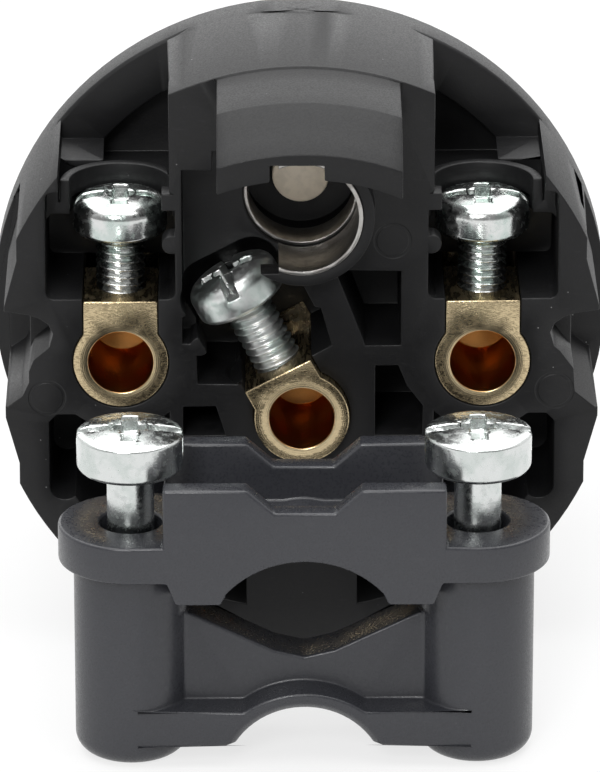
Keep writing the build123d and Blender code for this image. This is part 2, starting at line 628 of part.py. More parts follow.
CLAMP_HEAD_R = 3.15
CLAMP_HEAD_HEIGHT = 2.6
CLAMP_HEAD_SEAT = -1.0
CLAMP_NECK_R = 1.4
CLAMP_NECK_LEN = 4.6
CLAMP_THREAD_R = 1.7
CLAMP_SCREW_LEN = 16.0
for hand, side in (("left", -1), ("right", 1)):
    seat = Plane(origin=(side * CLAMP_SCREW_X, -CLAMP_MID, CLAMP_HEAD_SEAT), z_dir=(0, 0, 1))
    clamp_screw = head_screw(
        seat, CLAMP_HEAD_R, CLAMP_HEAD_HEIGHT, CLAMP_THREAD_R, CLAMP_SCREW_LEN,
        CLAMP_NECK_R, CLAMP_NECK_LEN)
    save(clamp_screw, f"clamp_screw_{hand}")
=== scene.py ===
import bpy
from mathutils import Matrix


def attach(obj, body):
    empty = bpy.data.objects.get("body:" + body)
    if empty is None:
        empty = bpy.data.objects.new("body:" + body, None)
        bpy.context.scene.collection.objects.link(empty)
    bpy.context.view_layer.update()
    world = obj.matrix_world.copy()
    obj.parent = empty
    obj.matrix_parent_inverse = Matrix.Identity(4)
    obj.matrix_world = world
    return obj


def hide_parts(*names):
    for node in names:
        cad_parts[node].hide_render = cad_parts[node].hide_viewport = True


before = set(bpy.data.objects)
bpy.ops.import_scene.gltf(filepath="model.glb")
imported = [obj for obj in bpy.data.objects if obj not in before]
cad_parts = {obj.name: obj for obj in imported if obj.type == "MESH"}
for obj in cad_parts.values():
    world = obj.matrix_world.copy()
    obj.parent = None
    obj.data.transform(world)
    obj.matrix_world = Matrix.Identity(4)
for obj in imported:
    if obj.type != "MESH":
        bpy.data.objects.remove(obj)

"""Looks of a rewirable contact insert: softened mouldings, cut brass, plated screws and a plain studio.

Everything is in metres, in the frame of the loaded solids. Each piece that stands for a solid keeps its
place, and only adds what the solid leaves out: rounded edges, real threads and surface finish.
"""

import logging
import math
from dataclasses import dataclass
from enum import Enum
from typing import Dict, List, Optional, Sequence, Tuple, Union

import bmesh
import bpy
from mathutils import Matrix, Vector

log = logging.getLogger("insert")

MM = 0.001
REAR = 28.1 * MM
FLOOR_Z = -19.0 * MM
MERGE_MM = 0.002
HARD_ANGLE = math.radians(25)
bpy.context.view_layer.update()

Colour = Tuple[float, float, float]
Number = Union["Value", float]
Point = Tuple[float, float]


# Surface arithmetic

class Value:
    """A number that varies over a surface and can be used in plain arithmetic."""

    def __init__(self, board: "Board", socket: bpy.types.NodeSocket) -> None:
        self.board = board
        self.socket = socket

    def _with(self, operation: str, other: Number = 0.0, swapped: bool = False) -> "Value":
        first, second = (other, self) if swapped else (self, other)
        return self.board.value("ShaderNodeMath", {0: first, 1: second}, operation=operation)

    def __add__(self, other: Number) -> "Value":
        return self._with("ADD", other)

    __radd__ = __add__

    def __sub__(self, other: Number) -> "Value":
        return self._with("SUBTRACT", other)

    def __rsub__(self, other: Number) -> "Value":
        return self._with("SUBTRACT", other, swapped=True)

    def __mul__(self, other: Number) -> "Value":
        return self._with("MULTIPLY", other)

    __rmul__ = __mul__

    def __abs__(self) -> "Value":
        return self._with("ABSOLUTE")

    def sine(self) -> "Value":
        """Sine of this value in radians."""
        return self._with("SINE")

    def root(self) -> "Value":
        """Square root of this value."""
        return self._with("SQRT")

    def between(self, low: float, high: float, start: float = 0.0, end: float = 1.0) -> "Value":
        """Map a range to another one, smoothly and with its ends held.

        Args:
            low: value that gives start.
            high: value that gives end.
            start: result at low.
            end: result at high.

        Returns:
            The mapped value.
        """
        return self.board.value(
            "ShaderNodeMapRange",
            {"Value": self, "From Min": low, "From Max": high, "To Min": start, "To Max": end},
            interpolation_type="SMOOTHSTEP")


class Board:
    """A tree of shader nodes, laid out through a single node-making method."""

    def __init__(self, tree: bpy.types.NodeTree) -> None:
        self.tree = tree

    def node(self, kind: str, inputs: Optional[Dict] = None, **settings) -> bpy.types.Node:
        """Add a node, set its properties and fill or link its inputs.

        Args:
            kind: node type name.
            inputs: numbers, colours, sockets or values by input name or index.
            settings: properties of the node itself.

        Returns:
            The new node.
        """
        made = self.tree.nodes.new(kind)
        for key, setting in settings.items():
            setattr(made, key, setting)
        for key, given in (inputs or {}).items():
            source = given.socket if isinstance(given, Value) else given
            if isinstance(source, bpy.types.NodeSocket):
                self.tree.links.new(source, made.inputs[key])
            else:
                made.inputs[key].default_value = source
        return made

    def value(self, kind: str, inputs: Dict, output: Union[int, str] = 0, **settings) -> Value:
        """Add a node and wrap one of its outputs."""
        return Value(self, self.node(kind, inputs, **settings).outputs[output])

    def blend(self, amount: Number, first: Colour, second: Colour) -> bpy.types.NodeSocket:
        """Colour that goes from first to second as amount goes from 0 to 1."""
        mixed = self.node(
            "ShaderNodeMix", {"Factor": amount, "A": (*first, 1.0), "B": (*second, 1.0)}, data_type="RGBA")
        return mixed.outputs["Result"]

    def backdrop_rays(self) -> Value:
        """One for rays that show the backdrop: from the camera, off a shiny surface or through glass."""
        path = self.node("ShaderNodeLightPath")
        camera, glossy, through = (
            Value(self, path.outputs[name])
            for name in ("Is Camera Ray", "Is Glossy Ray", "Is Transmission Ray"))
        return camera + glossy + through


class SurfaceBoard(Board):
    """The nodes of one material."""

    def __init__(self, name: str) -> None:
        self.material = bpy.data.materials.new(name)
        self.material.use_nodes = True
        super().__init__(self.material.node_tree)
        self.shader = self.tree.nodes["Principled BSDF"]
        self.place = self.node("ShaderNodeTexCoord").outputs["Object"]

    def noise(self, size_mm: float, detail: float = 2.0, stretch: Sequence[float] = (1, 1, 1)) -> Value:
        """Cloudy value around 0.5 whose blotches are about size_mm across."""
        spread = self.node("ShaderNodeMapping", {"Vector": self.place, "Scale": stretch}).outputs[0]
        return self.value(
            "ShaderNodeTexNoise", {"Vector": spread, "Scale": 1 / (size_mm * MM), "Detail": detail})

    def cells(self, size_mm: float) -> Value:
        """Distance from the nearest point of a scatter, in cell widths."""
        return self.value(
            "ShaderNodeTexVoronoi", {"Vector": self.place, "Scale": 1 / (size_mm * MM), "Randomness": 1.0},
            output="Distance")

    def axes(self) -> Tuple[Value, Value, Value]:
        """The three coordinates of the surface point, in metres."""
        split = self.node("ShaderNodeSeparateXYZ", {0: self.place})
        return tuple(Value(self, socket) for socket in split.outputs)

    def from_line(self, x: float, z: float) -> Value:
        """Distance in metres from a line that runs along Y."""
        across, _, up = self.axes()
        return ((across - x) * (across - x) + (up - z) * (up - z)).root()

    def facing_back(self) -> Value:
        """One on faces that look to the cable side, nought elsewhere."""
        geometry = self.node("ShaderNodeNewGeometry")
        normal = self.node("ShaderNodeSeparateXYZ", {0: geometry.outputs["True Normal"]})
        return (0.0 - Value(self, normal.outputs[1])).between(0.8, 0.95)

    def finish(
            self, colour: Union[Colour, bpy.types.NodeSocket], roughness: Number, metallic: float,
            height: Optional[Value] = None, depth_mm: float = 0.01,
            **constants: float) -> bpy.types.Material:
        """Fill in the shader.

        Args:
            colour: base colour, plain or varying.
            roughness: roughness, plain or varying.
            metallic: 1 for bare metal.
            height: relief from 0 to 1.
            depth_mm: depth of the relief.
            constants: other shader inputs that are the same all over, by name with _ for space.

        Returns:
            The finished material.
        """
        settings: Dict = {"Base Color": colour, "Roughness": roughness, "Metallic": metallic}
        settings.update({name.replace("_", " "): amount for name, amount in constants.items()})
        if height is not None:
            relief = self.node(
                "ShaderNodeBump", {"Height": height, "Distance": depth_mm * MM, "Strength": 1.0})
            settings["Normal"] = relief.outputs["Normal"]
        for name, given in settings.items():
            source = given.socket if isinstance(given, Value) else given
            socket = self.shader.inputs[name]
            if isinstance(source, bpy.types.NodeSocket):
                self.tree.links.new(source, socket)
            else:
                socket.default_value = (*source, 1.0) if isinstance(source, tuple) else source
        return self.material


# Finishes

@dataclass(frozen=True)
class Mark:
    """A round ejector mark on a face that looks to the cable side."""

    x: float
    z: float
    radius: float


@dataclass(frozen=True)
class MouldedPlastic:
    """Injection-moulded thermoplastic with a fine spark-eroded grain.

    Attributes:
        name: material name.
        tone: base colour.
        sheen: roughness of the smooth parts.
        gloss: strength of the reflections.
        grain_mm: width of one grain.
        specks: how many pale dust specks show, from 0 to 1.
        marks: ejector marks.
    """

    name: str
    tone: Colour
    sheen: float
    gloss: float = 0.5
    grain_mm: float = 0.11
    specks: float = 1.0
    marks: Tuple[Mark, ...] = ()

    def material(self) -> bpy.types.Material:
        """Build the material."""
        board = SurfaceBoard(self.name)
        clouds = board.noise(4.0, detail=3.0)
        grain = board.noise(self.grain_mm, detail=2.0)
        dust = board.cells(0.9).between(0.035, 0.06, 1.0, 0.0) * board.noise(2.2).between(0.52, 0.62)
        rubbed = board.noise(0.7, detail=4.0, stretch=(1, 1, 3)).between(0.55, 0.75)
        shade = (dust * self.specks * 0.55 + rubbed * 0.05 + clouds * 0.03).between(0.0, 1.0)
        relief = grain * 0.5 + clouds * 0.3
        for mark in self.marks:
            away = abs(board.from_line(mark.x * MM, mark.z * MM) - mark.radius * MM)
            relief = relief - away.between(0.05 * MM, 0.13 * MM, 2.2, 0.0) * board.facing_back()
        roughness = grain.between(0.3, 0.7, self.sheen - 0.06, self.sheen + 0.08) + rubbed * 0.06
        worn = tuple(min(1.0, channel + 0.42) for channel in self.tone)
        return board.finish(
            board.blend(shade, self.tone, worn), roughness, 0.0, relief, 0.012, Specular_IOR_Level=self.gloss)


@dataclass(frozen=True)
class TurnedBrass:
    """Bare brass, sawn across its faces and turned or drawn along its sides.

    Attributes:
        name: material name.
        axis: X and Z in millimetres of the line that the turning rings centre on.
        tone: colour of the clean metal.
        dull: colour of the tarnished metal.
        bore: colour painted down the wire bore, a painted shade and reflection where the metal reflects
            itself.
        bore_radius: radius of the wire bore in millimetres.
        mouth: width of the polished cone at the bore's mouth.
    """

    name: str
    axis: Tuple[float, float]
    tone: Colour = (0.58, 0.47, 0.29)
    dull: Colour = (0.30, 0.235, 0.14)
    bore: Colour = (0.50, 0.25, 0.08)
    bore_radius: float = 1.975
    mouth: float = 0.38

    def material(self) -> bpy.types.Material:
        """Build the material."""
        board = SurfaceBoard(self.name)
        radius = board.from_line(self.axis[0] * MM, self.axis[1] * MM)
        wobble = board.noise(1.3, detail=3.0)
        rings = (radius * (math.tau / (0.11 * MM)) + wobble * 9.0).sine()
        smear = board.noise(0.28, detail=4.0, stretch=(1.0, 0.25, 2.6))
        pits = board.cells(0.22).between(0.12, 0.3, 1.0, 0.0) * board.noise(0.9).between(0.5, 0.62)
        tarnish = smear.between(0.38, 0.66) * 0.55 + pits * 0.45 + wobble.between(0.4, 0.7) * 0.2
        tarnish = tarnish.between(0.0, 1.0)
        mouth_end = self.bore_radius + self.mouth
        face = radius.between(mouth_end * MM, (mouth_end + 0.08) * MM)
        outside = radius.between((self.bore_radius + 0.01) * MM, (self.bore_radius + 0.05) * MM)
        relief = (rings * 0.16 + smear * 0.9 * face - pits * 0.8 * face) * 0.5 * outside
        roughness = (tarnish * face).between(0.0, 1.0, 0.24, 0.48)
        metal = board.blend(tarnish * (face * 0.7 + 0.3), self.tone, self.dull)
        # Painted shade and reflection: inside the wire bore the brass takes the darker, redder bore colour.
        colour = board.node(
            "ShaderNodeMix", {"Factor": outside, "A": (*self.bore, 1.0), "B": metal}, data_type="RGBA")
        return board.finish(colour.outputs["Result"], roughness, 1.0, relief, 0.016)


@dataclass(frozen=True)
class PlatedMetal:
    """Plated steel with light scratches and a thin coloured passivation.

    Attributes:
        name: material name.
        tone: colour of the plating.
        tint: second colour that the plating drifts to.
        polish: roughness of the clean metal.
        scratch: depth of the scratches in millimetres.
        stretch: direction that the scratches run in, as a scale for each axis.
    """

    name: str
    tone: Colour
    tint: Colour
    polish: float
    scratch: float = 0.004
    stretch: Tuple[float, float, float] = (1.0, 1.0, 1.0)

    def material(self) -> bpy.types.Material:
        """Build the material."""
        board = SurfaceBoard(self.name)
        drift = board.noise(1.6, detail=3.0)
        fine = board.noise(0.09, detail=4.0, stretch=self.stretch)
        blotch = board.noise(0.45, detail=4.0).between(0.46, 0.66)
        amount = (drift.between(0.4, 0.62) * 0.7 + blotch * 0.3).between(0.0, 1.0)
        roughness = (fine * 0.14 + blotch * 0.1 + self.polish - 0.07).between(0.05, 0.9, 0.05, 0.9)
        return board.finish(
            board.blend(amount, self.tone, self.tint), roughness, 1.0, fine + blotch * 0.4, self.scratch)


@dataclass(frozen=True)
class PaintedReflectionDisc:
    """Pale matte colour on the plated disc at the end of the tunnel, painted in place of the bright
    reflection off its face.
    """

    name: str
    tone: Colour

    def material(self) -> bpy.types.Material:
        """Build the material."""
        board = SurfaceBoard(self.name)
        clouds = board.noise(0.8, detail=3.0)
        dimmed = tuple(channel * 0.86 for channel in self.tone)
        return board.finish(
            board.blend(clouds.between(0.4, 0.65), self.tone, dimmed),
            clouds.between(0.3, 0.7, 0.35, 0.5), 0.0, clouds, 0.006)


class Slot(Enum):
    """Material kinds; each softened piece keeps one, though nothing reads it."""

    CARRIER = "carrier_black"
    CLAMP = "clamp_slate"
    BRASS = "terminal_brass"
    ZINC = "screw_zinc"
    SPRING = "spring_steel"
    NICKEL = "earth_nickel"


# Meshes

def place_piece(name: str, form: bmesh.types.BMesh, material: bpy.types.Material, node: str,
                crease_deg: float = 35.0) -> bpy.types.Object:
    """Turn a finished form into a piece that stands for a solid.

    Args:
        name: name of the piece.
        form: its mesh, which is freed.
        material: its finish.
        node: name of the solid that it replaces.
        crease_deg: angle above which an edge stays sharp in the shading.

    Returns:
        The new object.
    """
    bmesh.ops.recalc_face_normals(form, faces=form.faces)
    for face in form.faces:
        face.smooth = True
    mesh = bpy.data.meshes.new(name)
    form.to_mesh(mesh)
    form.free()
    mesh.set_sharp_from_angle(angle=math.radians(crease_deg))
    mesh.materials.append(material)
    piece = bpy.data.objects.new(name, mesh)
    bpy.context.scene.collection.objects.link(piece)
    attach(piece, "root")
    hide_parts(node)
    log.info("%s: %d faces", name, len(mesh.polygons))
    return piece


def soften(form: bmesh.types.BMesh, round_mm: float, segments: int, flat_faces: bool = True) -> None:
    """Round every hard edge of a form.

    Args:
        form: mesh to change.
        round_mm: width of the rounding.
        segments: facets across it.
        flat_faces: whether flat faces may be joined first.
    """
    bmesh.ops.remove_doubles(form, verts=form.verts, dist=MERGE_MM * MM)
    if flat_faces:
        bmesh.ops.dissolve_limit(form, angle_limit=math.radians(0.5), verts=form.verts, edges=form.edges)
    hard = [edge for edge in form.edges
            if len(edge.link_faces) == 2 and edge.calc_face_angle(0.0) > HARD_ANGLE]
    bmesh.ops.bevel(form, geom=hard, offset=round_mm * MM, affect="EDGES", segments=segments, profile=0.5,
                    material=-1, clamp_overlap=False)


def merged_copy(node: str) -> bmesh.types.BMesh:
    """Copy a solid's mesh with its loose triangles joined."""
    form = bmesh.new()
    form.from_mesh(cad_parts[node].data)
    bmesh.ops.remove_doubles(form, verts=form.verts, dist=MERGE_MM * MM)
    return form


def arc(middle: Point, radius: float, start: float, end: float, steps: int = 16) -> List[Point]:
    """Points along an arc, with its angles in degrees from X towards the second axis."""
    angles = (math.radians(start + (end - start) * step / steps) for step in range(steps + 1))
    return [(middle[0] + radius * math.cos(angle), middle[1] + radius * math.sin(angle)) for angle in angles]


def prism(outline: Sequence[Point], low: float, high: float, upright: bool = False) -> bmesh.types.BMesh:
    """Closed block with a given outline, in millimetres.

    Args:
        outline: corners as (x, z), or as (x, depth) for an upright block.
        low: depth where the block starts, or its lowest z.
        high: depth where it ends, or its highest z.
        upright: whether the block stands along Z in place of running along Y.

    Returns:
        The block.
    """
    form = bmesh.new()
    ends = []
    for level in (low, high):
        corners = [(x, -across, level) if upright else (x, -level, across) for x, across in outline]
        ends.append([form.verts.new(Vector(corner) * MM) for corner in corners])
    first, second = ends
    form.faces.new(first)
    form.faces.new(second)
    for index in range(len(outline)):
        form.faces.new((first[index - 1], first[index], second[index], second[index - 1]))
    bmesh.ops.recalc_face_normals(form, faces=form.faces)
    return form


def carve(base: bmesh.types.BMesh, blocks: Sequence[bmesh.types.BMesh]) -> bmesh.types.BMesh:
    """Cut blocks out of a form, one after another.

    Args:
        base: form to work on, which is freed.
        blocks: what is cut away, each of which is freed.

    Returns:
        The new form.
    """
    holders = []
    for form in [base, *blocks]:
        bmesh.ops.scale(form, vec=Vector((1, 1, 1)) / MM, verts=form.verts)
        mesh = bpy.data.meshes.new("block")
        form.to_mesh(mesh)
        form.free()
        holders.append(bpy.data.objects.new("block", mesh))
        bpy.context.scene.collection.objects.link(holders[-1])
    for holder in holders[1:]:
        step = holders[0].modifiers.new("step", "BOOLEAN")
        step.operation = "DIFFERENCE"
        step.solver = "EXACT"
        step.object = holder
    bpy.context.view_layer.update()
    worked = bpy.data.meshes.new_from_object(
        holders[0].evaluated_get(bpy.context.evaluated_depsgraph_get()))
    result = bmesh.new()
    result.from_mesh(worked)
    bmesh.ops.scale(result, vec=Vector((MM, MM, MM)), verts=result.verts)
    bpy.data.meshes.remove(worked)
    for holder in holders:
        bpy.data.meshes.remove(holder.data)
    return result


@dataclass(frozen=True)
class Softened:
    """A moulded or cut part whose solid is right but for its hard edges."""

    node: str
    slot: Slot
    round_mm: float
    segments: int = 2
    flat_faces: bool = True

    def build(self, material: bpy.types.Material) -> bpy.types.Object:
        """Make the piece with the given finish."""
        form = merged_copy(self.node)
        soften(form, self.round_mm, self.segments, self.flat_faces)
        return place_piece(f"{self.node}_moulded", form, material, self.node)


@dataclass(frozen=True)
class ThreadedScrew:
    """A pan-head screw with a rolled thread.

    Attributes:
        node: solid that it stands for.
        seat: middle of the head's underside, in millimetres.
        axis: direction from the tip to the head.
        radius: outer radius of the thread.
        length: length below the head.
        pitch: distance between two turns.
        plain: length below the head that has no thread.
        plain_radius: radius of that part.
        turn_steps: facets round the shank.
        head_round: rounding of the head's edges.
        head_radius: radius of the head.
        head_height: height of the head.
        fullness: how far the head's shoulder is raised, from 0 to 1.
    """

    THREAD_DEPTH = 0.54
    ROWS_PER_TURN = 10
    SHOULDER_LEVEL = 0.53
    CROWN_EDGE = 0.6

    node: str
    seat: Tuple[float, float, float]
    axis: Tuple[float, float, float]
    radius: float
    length: float
    pitch: float = 0.5
    plain: float = 0.25
    plain_radius: float = 1.32
    turn_steps: int = 40
    head_round: float = 0.09
    head_radius: float = 2.85
    head_height: float = 2.4
    fullness: float = 0.0

    def _fill_shoulder(self, head: bmesh.types.BMesh, seat: Vector, axis: Vector) -> None:
        """Raise the shoulder of the head towards its top, so that its side stands higher."""
        for vert in head.verts:
            away = vert.co - seat
            height = away.dot(axis) / MM
            across = (away - axis * away.dot(axis)).length / MM / self.head_radius
            if height > self.SHOULDER_LEVEL * self.head_height:
                share = min(1.0, max(0.0, (across - self.CROWN_EDGE) / (1.0 - self.CROWN_EDGE)))
                vert.co += axis * (self.head_height - height) * self.fullness * share * MM

    def _thread_radius(self, below: float, turn: float) -> float:
        """Radius at a depth below the head and a fraction of a turn, both rising with the helix."""
        depth = self.THREAD_DEPTH * self.pitch
        phase = (below / self.pitch - turn) % 1.0
        ridge = 1.0 - min(1.0, max(0.0, abs(phase - 0.5) * 2.0 - 0.12) / 0.8)
        from_plain = min(1.0, max(0.0, (below - self.plain) / (0.6 * self.pitch)))
        from_tip = min(1.0, max(0.0, (self.length - below) / (1.2 * self.pitch)))
        cut = self.radius - depth * (1.0 - ridge)
        return self.plain_radius + (cut - self.plain_radius) * from_plain - (1.0 - from_tip) * 0.42

    def _shank(self, form: bmesh.types.BMesh) -> None:
        """Spin a straight shank and press the thread into it."""
        rows = max(8, round(self.length / self.pitch * self.ROWS_PER_TURN))
        profile = [form.verts.new((0.0, 0.0, 0.1 * MM))]
        profile += [form.verts.new((MM, 0.0, -self.length * row / rows * MM)) for row in range(rows + 1)]
        profile.append(form.verts.new((0.0, 0.0, -self.length * MM)))
        edges = [form.edges.new(pair) for pair in zip(profile, profile[1:])]
        bmesh.ops.spin(
            form, geom=profile + edges, cent=(0, 0, 0), axis=(0, 0, 1), angle=math.tau, steps=self.turn_steps,
            use_merge=True)
        bmesh.ops.remove_doubles(form, verts=form.verts, dist=0.0005 * MM)
        for vert in form.verts:
            across = math.hypot(vert.co.x, vert.co.y)
            if across < 0.5 * MM:
                continue
            turn = math.atan2(vert.co.y, vert.co.x) / math.tau
            wide = self._thread_radius(-vert.co.z / MM, turn) * MM
            vert.co.x *= wide / across
            vert.co.y *= wide / across

    def build(self, material: bpy.types.Material) -> bpy.types.Object:
        """Make the screw: the solid's own slotted head, softened, on a threaded shank."""
        axis = Vector(self.axis).normalized()
        seat = Vector(self.seat) * MM
        head = merged_copy(self.node)
        cut = bmesh.ops.bisect_plane(
            head, geom=head.verts[:] + head.edges[:] + head.faces[:], dist=1e-7,
            plane_co=seat + axis * 0.02 * MM, plane_no=axis, clear_inner=True)
        rim = [item for item in cut["geom_cut"] if isinstance(item, bmesh.types.BMEdge)]
        bmesh.ops.holes_fill(head, edges=rim, sides=0)
        if self.fullness:
            self._fill_shoulder(head, seat, axis)
        soften(head, self.head_round, 2, flat_faces=not self.fullness)
        shank = bmesh.new()
        self._shank(shank)
        turn = Vector((0, 0, 1)).rotation_difference(axis).to_matrix().to_4x4()
        bmesh.ops.transform(shank, matrix=Matrix.Translation(seat) @ turn, verts=shank.verts)
        part = bpy.data.meshes.new("shank")
        shank.to_mesh(part)
        shank.free()
        head.from_mesh(part)
        bpy.data.meshes.remove(part)
        return place_piece(f"{self.node}_threaded", head, material, self.node, 40.0)


# Sub-assemblies

@dataclass(frozen=True)
class CarrierSizes:
    """Sizes of the black mouldings, in millimetres, with depths measured from the contact face.

    The solid has no cavities beyond its windows, narrow lower pockets, and one flank without its flats and
    groove. What it lacks there, as the photograph shows it, is cut here.
    """

    edge_round: float = 0.075
    cap_round: float = 0.12
    radius: float = 19.0
    flange_back: float = 17.8
    flange_chamfer: float = 0.35
    shortest_edge: float = 0.03
    rear: float = REAR / MM
    terminal_x: float = 11.0
    flank: Tuple[Point, ...] = (
        (17.25, 8.2), (17.25, 6.6), (18.05, 3.6), (18.05, -3.6), (17.25, -6.6), (17.25, -8.2), (20.0, -8.2),
        (20.0, 8.2))
    groove: Tuple[Point, ...] = (
        (19.5, 3.3), (17.9, 3.3), (16.6, 3.1), (15.9, 2.85), (15.35, 2.45), (15.1, 1.85), (15.35, 0.95),
        (16.3, 0.15), (16.6, -0.6), (16.6, -1.3), (17.0, -2.2), (17.9, -2.85), (19.5, -2.85))
    groove_floor: float = 16.6
    groove_step: float = 4.0
    groove_start: float = 0.3
    pocket_depth: float = 7.9
    pocket_in: float = 8.05
    pocket_out: float = 15.41
    pocket_top: float = -3.41
    pocket_bottom: float = -8.4
    wall_radius: float = 4.4
    rim_radius: float = 16.38
    window_out: float = 14.75
    cavity_in: float = 7.66
    cavity_front: float = 12.0
    cavity_sill: float = 9.3
    cavity_radius: float = 16.1
    collar_radius: float = 3.65
    collar_top: float = 10.9
    collar_gap_deg: float = 5.0
    pocket_corner: float = 0.5
    past_rear: float = 0.2
    overlap: float = 0.01
    screw_back: float = 3.0


class BlackMouldings:
    """The contact carrier and the cap of its tower."""

    MARKS = (Mark(5.5, 7.85, 1.05), Mark(15.4, -1.9, 1.1), Mark(-15.5, -2.3, 1.05))

    def __init__(self, sizes: CarrierSizes = CarrierSizes()) -> None:
        self.sizes = sizes

    def build(self) -> List[bpy.types.Object]:
        """Make both mouldings."""
        finish = MouldedPlastic(
            "carrier plastic", (0.0065, 0.0065, 0.007), 0.44, gloss=0.3, marks=self.MARKS).material()
        s = self.sizes
        blocks = []
        for side in (-1, 1):
            blocks += [*self._cavity(side), self._lower_pocket(side), *self._flank(side)]
        form = carve(merged_copy("contact_carrier"), blocks)
        self._close_flange_line(form)
        soften(form, s.edge_round, 2, flat_faces=False)
        return [
            place_piece("contact_carrier_moulded", form, finish, "contact_carrier"),
            Softened("face_cap", Slot.CARRIER, s.cap_round).build(finish)]

    def _close_flange_line(self, form: bmesh.types.BMesh) -> None:
        """Bring the back edge of the flange out to its full radius, level with the body behind it."""
        s = self.sizes
        for vert in form.verts:
            across = math.hypot(vert.co.x, vert.co.z) / MM
            on_back = abs(vert.co.y / MM + s.flange_back) < 0.01
            if on_back and abs(across - s.radius + s.flange_chamfer) < 0.02:
                vert.co.x *= s.radius / across
                vert.co.z *= s.radius / across
        bmesh.ops.dissolve_degenerate(form, dist=s.shortest_edge * MM, edges=form.edges)

    def _flank(self, side: int) -> List[bmesh.types.BMesh]:
        """Key groove of one flank, after the flats that the solid lacks on the line side."""
        s = self.sizes
        groove = [(side * x, z) for x, z in s.groove]
        shallow = [(side * max(x, s.groove_floor), z) for x, z in s.groove if x > s.groove_floor or z < 2.0]
        past = s.rear + s.past_rear
        cuts = [prism(shallow, s.flange_back + s.groove_start, past),
                prism(groove, s.rear - s.groove_step, past)]
        if side < 0:
            cuts.insert(0, prism([(side * x, z) for x, z in s.flank], s.flange_back, past))
        return cuts

    def _lower_pocket(self, side: int) -> bmesh.types.BMesh:
        """Large pocket that runs round the tube's wall down to the rim."""
        s = self.sizes
        rim_start = math.degrees(math.acos(s.pocket_out / s.rim_radius))
        rim_end = math.degrees(math.asin(-s.pocket_bottom / s.rim_radius))
        top_end = math.degrees(math.asin(-s.pocket_top / s.wall_radius))
        in_end = math.degrees(math.acos((s.terminal_x - s.pocket_in) / s.wall_radius))
        outline = arc((s.terminal_x, 0.0), s.wall_radius, in_end - 180.0, -top_end)
        outline += [(s.pocket_out - s.pocket_corner, s.pocket_top),
                    (s.pocket_out, s.pocket_top - s.pocket_corner)]
        outline += arc((0.0, 0.0), s.rim_radius, -rim_start, -rim_end, 6)
        outline += [(s.pocket_in, s.pocket_bottom)]
        return prism([(side * x, z) for x, z in outline], s.rear - s.pocket_depth, s.rear + s.past_rear)

    def _cavity(self, side: int) -> List[bmesh.types.BMesh]:
        """Dark cavity in front of a driver window, and the corners outside the screw head's collar."""
        s = self.sizes
        screw = s.rear - s.screw_back
        collar_front = screw - s.collar_radius
        cavity = arc((0, 0), s.cavity_radius, math.degrees(math.asin(s.cavity_sill / s.cavity_radius)),
                     math.degrees(math.acos(s.cavity_in / s.cavity_radius)))
        cavity.append((s.cavity_in, s.cavity_sill))
        blocks = [prism([(side * x, z) for x, z in cavity], s.rear - s.cavity_front, collar_front)]
        inner_start = 180.0 + s.collar_gap_deg + math.degrees(
            math.acos((s.terminal_x - s.cavity_in) / s.collar_radius))
        for start, end, edge in ((inner_start, 270.0, s.cavity_in), (0.0, -90.0, s.window_out)):
            corner = arc((s.terminal_x, screw), s.collar_radius, start, end, 12)
            corner += [(edge, collar_front - s.overlap), (edge, screw)]
            outline = [(side * x, depth) for x, depth in corner]
            blocks.append(prism(outline, s.cavity_sill, s.collar_top + s.overlap, True))
        return blocks


@dataclass(frozen=True)
class TerminalSizes:
    """Places of the terminals, in millimetres."""

    line_x: float = 11.0
    earth_z: float = -3.4
    earth_tilt: float = 28.0
    earth_stand_out: float = 0.8
    screw_back: float = 3.0
    line_head_seat: float = 7.5
    neutral_head_seat: float = 7.5
    earth_head_seat: float = 7.4
    thread_radius: float = 1.5
    screw_length: float = 5.4
    edge_round: float = 0.09


class Terminals:
    """Three brass terminals with their screws, and the rings on the sleeves."""

    def __init__(self, sizes: TerminalSizes = TerminalSizes()) -> None:
        self.sizes = sizes

    def _screw(self, node: str, x: float, head_seat: float, material: bpy.types.Material) -> bpy.types.Object:
        """One upright contact screw."""
        s = self.sizes
        seat = (x, -REAR / MM + s.screw_back, head_seat)
        return ThreadedScrew(node, seat, (0, 0, 1), s.thread_radius, s.screw_length).build(material)

    def build(self) -> List[bpy.types.Object]:
        """Make the terminals."""
        s = self.sizes
        tilt = math.radians(s.earth_tilt)
        axis = Vector((-math.sin(tilt), 0.0, math.cos(tilt)))
        earth_middle = Vector((0, -REAR / MM - s.earth_stand_out + s.screw_back, s.earth_z))
        earth_seat = earth_middle + axis * s.earth_head_seat
        zinc = PlatedMetal("contact screw zinc", (0.66, 0.67, 0.66), (0.50, 0.57, 0.54), 0.26).material()
        # Painted light: the earth screw's plating is painted lighter than the contact screws' to brighten its
        # head in the shade under the tongue; it is also rougher, with deeper scratches.
        dulled_zinc_painted_lighter = PlatedMetal(
            "earth screw zinc painted lighter", (0.78, 0.79, 0.78), (0.60, 0.67, 0.64), 0.4, 0.008).material()
        spring = PlatedMetal("spring steel", (0.55, 0.55, 0.55), (0.42, 0.42, 0.44), 0.3).material()
        pieces = []
        for node, place in (("line_contact", (-s.line_x, 0.0)), ("neutral_contact", (s.line_x, 0.0)),
                            ("earth_terminal", (0.0, s.earth_z))):
            brass = TurnedBrass(f"{node} brass", place).material()
            pieces.append(Softened(node, Slot.BRASS, s.edge_round, 2, flat_faces=False).build(brass))
        pieces.append(self._screw("line_screw", -s.line_x, s.line_head_seat, zinc))
        pieces.append(self._screw("neutral_screw", s.line_x, s.neutral_head_seat, zinc))
        earth_screw = ThreadedScrew(
            "earth_screw", tuple(earth_seat), tuple(axis), s.thread_radius, s.screw_length)
        pieces.append(earth_screw.build(dulled_zinc_painted_lighter))
        pieces += [Softened(node, Slot.SPRING, 0.06).build(spring)
                   for node in ("line_spring_ring", "neutral_spring_ring")]
        return pieces


